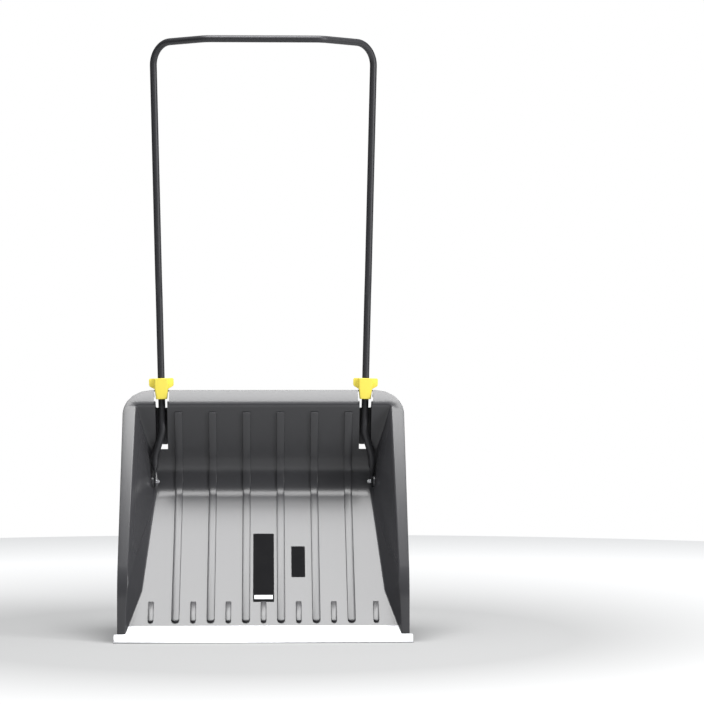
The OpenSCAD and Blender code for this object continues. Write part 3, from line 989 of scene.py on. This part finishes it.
@dataclass
class Handle:
    """The bent tube with its two pressed tongues."""

    tongue_x: float
    pivot: Vector
    leg_y: float
    radius: float = 0.009
    tongue_half_t: float = 0.00225
    tongue_half_w: float = 0.014
    step_back: float = 0.008
    neck_rise: float = 0.046

    def _leg_x_at(self, z: float) -> float:
        """Distance of a leg's axis from the middle at a height."""
        return LEG_X + math.tan(math.radians(LEG_SPLAY)) * (z - COLLAR_Z)

    def centre_line(self) -> tuple[list[Vector], list[float]]:
        """Corner points of the tube's centre line and the radius of the bend at each."""
        pz = self.pivot.y
        step_y = self.leg_y + self.step_back
        kink, top = 0.866618, 1.519
        fwd = self.leg_y - 0.0087
        right = [
            Vector((self.tongue_x, step_y, pz + self.neck_rise)), Vector((self.tongue_x, step_y, pz + 0.064)),
            Vector((self._leg_x_at(pz + 0.132), self.leg_y, pz + 0.132)),
            Vector((self._leg_x_at(kink), self.leg_y, kink)),
            Vector((self._leg_x_at(kink + 0.042), fwd, kink + 0.042)),
            Vector((self._leg_x_at(top), fwd, top)),
            Vector((self._leg_x_at(top) - 0.139, fwd - 0.112, top)),
        ]
        bends = [0.060, 0.060, 0.120, 0.120, 0.057, 0.050]
        left = [Vector((-p.x, p.y, p.z)) for p in reversed(right)]
        return [*right, *left], [*bends, *reversed(bends)]

    def _sweep(self, bm: bmesh.types.BMesh) -> tuple[list[bmesh.types.BMVert], list[bmesh.types.BMVert]]:
        """Draws the tube's skin along the centre line with straight extrusions and spun bends.

        Args:
            bm: Mesh to add to.

        Returns:
            The first and the last ring of vertices.
        """
        line, bends = self.centre_line()
        way = (line[1] - line[0]).normalized()
        turn = Vector((0, 0, 1)).rotation_difference(way).to_matrix().to_4x4()
        first = bmesh.ops.create_circle(bm, segments=36, radius=self.radius,
                                        matrix=Matrix.Translation(line[0]) @ turn)["verts"]
        ring_edges = unique(e for w in first for e in w.link_edges)
        ring = list(first)
        at = line[0].copy()
        for corner, radius, after in zip(line[1:-1], bends, line[2:]):
            ahead = (after - corner).normalized()
            angle = way.angle(ahead)
            setback = radius * math.tan(angle / 2)
            start = corner - way * setback
            if (start - at).length > 1e-5:
                ring_edges, ring = extrude(bm, ring_edges, start - at)
            axis = way.cross(ahead).normalized()
            centre = start + axis.cross(way).normalized() * radius
            steps = max(4, round(math.degrees(angle) / 5))
            spun = bmesh.ops.spin(bm, geom=[*ring, *ring_edges], cent=centre, axis=axis, angle=angle,
                                  steps=steps)["geom_last"]
            ring = [g for g in spun if isinstance(g, bmesh.types.BMVert)]
            ring_edges = [g for g in spun if isinstance(g, bmesh.types.BMEdge)]
            at = corner + ahead * setback
            way = ahead
        ring_edges, ring = extrude(bm, ring_edges, line[-1] - at)
        return list(first), ring

    def _tongue(self, bm: bmesh.types.BMesh, ring: list[bmesh.types.BMVert], side: int) -> None:
        """Flattens one end of the tube into a rounded tongue around the bolt.

        Args:
            bm: Mesh to add to.
            ring: The tube's end ring.
            side: 1 for the right leg, -1 for the left.
        """
        ring_set = set(ring)
        edges = [e for e in unique(e for w in ring for e in w.link_edges) if set(e.verts) <= ring_set]
        x, y0, z0 = side * self.tongue_x, self.leg_y + self.step_back, self.pivot.y + self.neck_rise
        half_t, half_w = self.tongue_half_t, self.tongue_half_w
        # Drop, width and depth as shares of the tube's radius, and share of the way to the bolt
        shapes = [(0.005, 0.96, 1.02, 0.1), (0.011, 0.72, 1.2, 0.4), (0.017, 0.42, 1.42, 0.8),
                  (0.024, half_t / self.radius, half_w / self.radius, 1.0)]
        offsets = {w: (w.co.x - x, w.co.y - y0) for w in ring}
        for drop, sx, sy, share in shapes:
            edges, grown = extrude(bm, edges)
            offsets = {w: offsets[min(offsets, key=lambda old: (old.co - w.co).length)] for w in grown}
            for w, (dx, dy) in offsets.items():
                w.co = Vector((x + dx * sx, y0 + dy * sy + (self.pivot.x - y0) * share, z0 - drop))
        rounds, least = 7, 0.02
        width = 1.0
        for i in range(1, rounds + 1):
            turn = math.pi / 2 * i / rounds
            edges, grown = extrude(bm, edges)
            before, width = width, max(math.cos(turn), least)
            for w in grown:
                w.co.y = self.pivot.x + (w.co.y - self.pivot.x) * width / before
                w.co.z = self.pivot.y - half_w * math.sin(turn)
        bmesh.ops.contextual_create(bm, geom=edges)

    def build(self) -> None:
        """Makes the tube with its tongues."""
        bm = bmesh.new()
        first, last = self._sweep(bm)
        self._tongue(bm, first, 1)
        self._tongue(bm, last, -1)
        merged(bm, 1e-6)
        tube = TUBE.dress(to_object(bm, "bent_tube", 50))
        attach(tube, "handle")
        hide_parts("handle_tube")
        LOG.info("handle: 1 piece")


@dataclass
class Collar:
    """Locking collar around one leg: a wedge body with two finger wings."""

    side: Side
    leg_y: float
    low_half: float = 0.0145
    high_half: float = 0.018
    depth_half: float = 0.0135
    wing_half: float = 0.032
    drop: float = 0.024
    length: float = 0.054
    bore: float = 0.0091

    def _body(self, bm: bmesh.types.BMesh) -> None:
        """Adds the wedge around its bore."""
        levels = [(0.0, self.low_half - 0.001, self.depth_half - 0.001),
                  (0.001, self.low_half, self.depth_half),
                  (self.drop, self.high_half - 0.0008, self.depth_half),
                  (self.drop + 0.0015, self.high_half, self.depth_half),
                  (self.length - 0.001, self.high_half, self.depth_half),
                  (self.length, self.high_half - 0.001, self.depth_half - 0.001)]
        loops = []
        for z, hx, hy in levels:
            ring = bmesh.ops.create_circle(bm, segments=40, radius=1.0)["verts"]
            for w in ring:
                a = math.atan2(w.co.y, w.co.x)
                power = 0.22
                w.co = Vector((math.copysign(abs(math.cos(a)) ** power, math.cos(a)) * hx,
                               math.copysign(abs(math.sin(a)) ** power, math.sin(a)) * hy, z))
            loops.append(ring)
        holes = []
        for z in (0.0, self.length):
            holes.append(bmesh.ops.create_circle(bm, segments=40, radius=self.bore,
                                                 matrix=Matrix.Translation((0, 0, z)))["verts"])
        chain = [holes[0], *loops, holes[1]]
        for a, b in zip(chain, chain[1:]):
            self._bridge(bm, a, b)
        self._bridge(bm, holes[0], holes[1])

    @staticmethod
    def _bridge(bm: bmesh.types.BMesh, a: Sequence[bmesh.types.BMVert],
                b: Sequence[bmesh.types.BMVert]) -> None:
        """Joins two rings with faces."""
        edges = [e for ring in (set(a), set(b)) for e in bm.edges if set(e.verts) <= ring]
        bmesh.ops.bridge_loops(bm, edges=edges)

    def _wings(self, bm: bmesh.types.BMesh) -> None:
        """Adds the two finger wings at the shoulders."""
        low, mid, top = self.drop + 0.002, self.drop + 0.010, self.length
        for way in (-1, 1):
            part = bmesh.new()
            inner = way * (self.high_half - 0.002)
            outline = [(inner, low), (way * (self.high_half + 0.001), low + 0.001),
                       (way * self.wing_half, mid), (way * self.wing_half, top), (inner, top)]
            polygon_prism(part, [Vector((x, -0.0025, z)) for x, z in outline], Vector((0, 0.005, 0)))
            merged(part)
            rounded(part, [e for e in part.edges
                           if abs(e.verts[0].co.y - e.verts[1].co.y) > 0.004
                           and abs(e.verts[0].co.x) > self.high_half + 0.002], 0.004, 4)
            rims = [e for e in sharp_edges(part, 60) if abs(e.verts[0].co.x) > self.high_half]
            rounded(part, rims, 0.0009, 2)
            absorb(bm, part)

    def build(self) -> None:
        """Makes the collar and hangs it on its own body."""
        bm = bmesh.new()
        self._body(bm)
        bmesh.ops.recalc_face_normals(bm, faces=bm.faces[:])
        self._wings(bm)
        bmesh.ops.recalc_face_normals(bm, faces=bm.faces[:])
        place = (Matrix.Translation((self.side.value * LEG_X, self.leg_y, COLLAR_Z))
                 @ Matrix.Rotation(math.radians(LEG_SPLAY) * self.side.value, 4, "Y"))
        bmesh.ops.transform(bm, matrix=place, verts=bm.verts[:])
        name = self.side.name.lower()
        collar = COLLAR.dress(to_object(bm, f"{name}_collar", 35))
        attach(collar, f"collar_{name}")
        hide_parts(f"collar_{name}")
        LOG.info("%s collar: 1 piece", name)


# ---------------------------------------------------------------------------
# Studio
# ---------------------------------------------------------------------------


@dataclass
class Studio:
    """Pale round floor, a white surround, two soft boxes and the camera."""

    leg_y: float
    distance: float = 7.15
    eye: float = 0.750
    sensor: float = 36.0
    view_width: float = 1.8304
    floor_r: float = 3.6

    def _floor(self) -> None:
        """Lays a pale floor with painted shade: grey in the middle, under the pusher, and paler outwards."""
        bm = bmesh.new()
        bmesh.ops.create_circle(bm, cap_ends=True, segments=96, radius=self.floor_r)
        floor = to_object(bm, "studio_floor")
        material = bpy.data.materials.new("studio_floor")
        material.use_nodes = True
        tree = material.node_tree
        shader = tree.nodes["Principled BSDF"]
        shader.inputs["Roughness"].default_value = 0.9
        shader.inputs["Specular IOR Level"].default_value = 0.1
        coords = tree.nodes.new("ShaderNodeTexCoord")
        length = tree.nodes.new("ShaderNodeVectorMath")
        length.operation = "LENGTH"
        tree.links.new(coords.outputs["Object"], length.inputs[0])
        # Painted shade: the floor's colour is grey near the middle, under the pusher, and turns pale
        # outwards.
        shade = spread(tree, length.outputs["Value"], 0.42, 0.97, 0.8, 2.4)
        tint = tree.nodes.new("ShaderNodeCombineColor")
        for channel in ("Red", "Green", "Blue"):
            tree.links.new(shade, tint.inputs[channel])
        tree.links.new(tint.outputs["Color"], shader.inputs["Base Color"])
        floor.data.materials.append(material)
        floor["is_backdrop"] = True

    def _world(self) -> None:
        """Sets a white surround that lights the pusher softly."""
        world = bpy.data.worlds.new("studio")
        bpy.context.scene.world = world
        world.use_nodes = True
        tree = world.node_tree
        sky = tree.nodes["Background"]
        seen = tree.nodes.new("ShaderNodeBackground")
        seen.inputs["Strength"].default_value = 1.0
        seen.inputs["Color"].default_value = (1, 1, 1, 1)
        sky.inputs["Strength"].default_value = 0.05
        soft = tree.nodes.new("ShaderNodeBackground")
        soft.inputs["Strength"].default_value = 0.42
        soft.inputs["Color"].default_value = (0.96, 0.98, 1.0, 1)
        rays = tree.nodes.new("ShaderNodeLightPath")
        unseen = tree.nodes.new("ShaderNodeMixShader")
        tree.links.new(rays.outputs["Is Glossy Ray"], unseen.inputs["Fac"])
        tree.links.new(soft.outputs[0], unseen.inputs[1])
        tree.links.new(sky.outputs[0], unseen.inputs[2])
        mix = tree.nodes.new("ShaderNodeMixShader")
        tree.links.new(rays.outputs["Is Camera Ray"], mix.inputs["Fac"])
        tree.links.new(unseen.outputs[0], mix.inputs[1])
        tree.links.new(seen.outputs[0], mix.inputs[2])
        tree.links.new(mix.outputs[0], tree.nodes["World Output"].inputs["Surface"])

    @staticmethod
    def _lamp(name: str, place: Vector, aim: Vector, size: tuple[float, float], power: float) -> None:
        """Adds one soft box."""
        data = bpy.data.lights.new(name, "AREA")
        data.shape = "RECTANGLE"
        data.size, data.size_y = size
        data.energy = power
        lamp = bpy.data.objects.new(name, data)
        lamp.location = place
        lamp.rotation_mode = "QUATERNION"
        lamp.rotation_quaternion = (aim - place).to_track_quat("-Z", "Y")
        bpy.context.scene.collection.objects.link(lamp)

    def build(self) -> None:
        """Sets the whole studio."""
        self._floor()
        self._world()
        above = Vector((0.1, -0.5, 0.0))
        self._lamp("top_box", above + Vector((0, 0, 4.2)), above, (2.6, 2.3), 230)
        self._lamp("side_box", Vector((4.5, -3.0, 2.2)), Vector((0, 0, 0.6)), (1.6, 2.4), 170)
        camera = bpy.data.cameras.new("camera")
        camera.lens = self.sensor * self.distance / self.view_width
        camera.sensor_width = self.sensor
        eye = bpy.data.objects.new("camera", camera)
        place = Vector((0.0, self.leg_y - self.distance, self.eye))
        aim = Vector((0.230, self.leg_y, 0.7188))
        eye.location = place
        eye.rotation_mode = "QUATERNION"
        eye.rotation_quaternion = (aim - place).to_track_quat("-Z", "Y")
        bpy.context.scene.collection.objects.link(eye)
        bpy.context.scene.camera = eye
        bpy.context.scene.view_settings.view_transform = "Standard"


# ---------------------------------------------------------------------------


FRAME: dict = {}


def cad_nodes() -> dict[str, bpy.types.Object]:
    """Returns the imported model's nodes by name."""
    return FRAME["nodes"]


def corners(box: Sequence[Iterable[float]]) -> list[list[float]]:
    """Turns a box into plain lists of numbers."""
    return [list(map(float, corner)) for corner in box]


def main() -> None:
    """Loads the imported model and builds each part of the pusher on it."""
    logging.basicConfig(level=logging.INFO, format="%(name)s: %(message)s")
    FRAME.update(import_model())
    cad = corners(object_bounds())
    strip_low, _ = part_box("wear_strip")
    # The strip's top front edge is the box's front, and its bottom front edge is on the ground
    tilt = math.radians(SideView.floor_angle)
    view = SideView(Vector((strip_low.y + 0.003 * math.sin(tilt), 0.0)))
    hinge = next(j for j in FRAME["joints"] if j["name"] == "handle_fold")["pos_m"]
    pivot = Vector((hinge[1], hinge[2]))
    collar_low, collar_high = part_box("collar_right")
    leg_y = (collar_low.y + collar_high.y) / 2
    bolt_low, bolt_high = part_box("pivot_bolt_right")
    _, washer_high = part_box("bolt_washer_right")
    tongue_x = washer_high.x + FACE_GAP + Handle.tongue_half_t
    seat = bolt_high.x - 0.0033
    Scoop(view).build(pivot, tongue_x + Handle.tongue_half_t + FACE_GAP, seat)
    WearStrip(view).build()
    Labels(view).build()
    PivotHardware(pivot, seat + BED_GAP, bolt_low.x).build()
    Handle(tongue_x, pivot, leg_y).build()
    for side in Side:
        Collar(side, leg_y).build()
    Studio(leg_y).build()
    {"cad": cad, "visual": corners(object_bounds())}


if __name__ == "__main__":
    main()
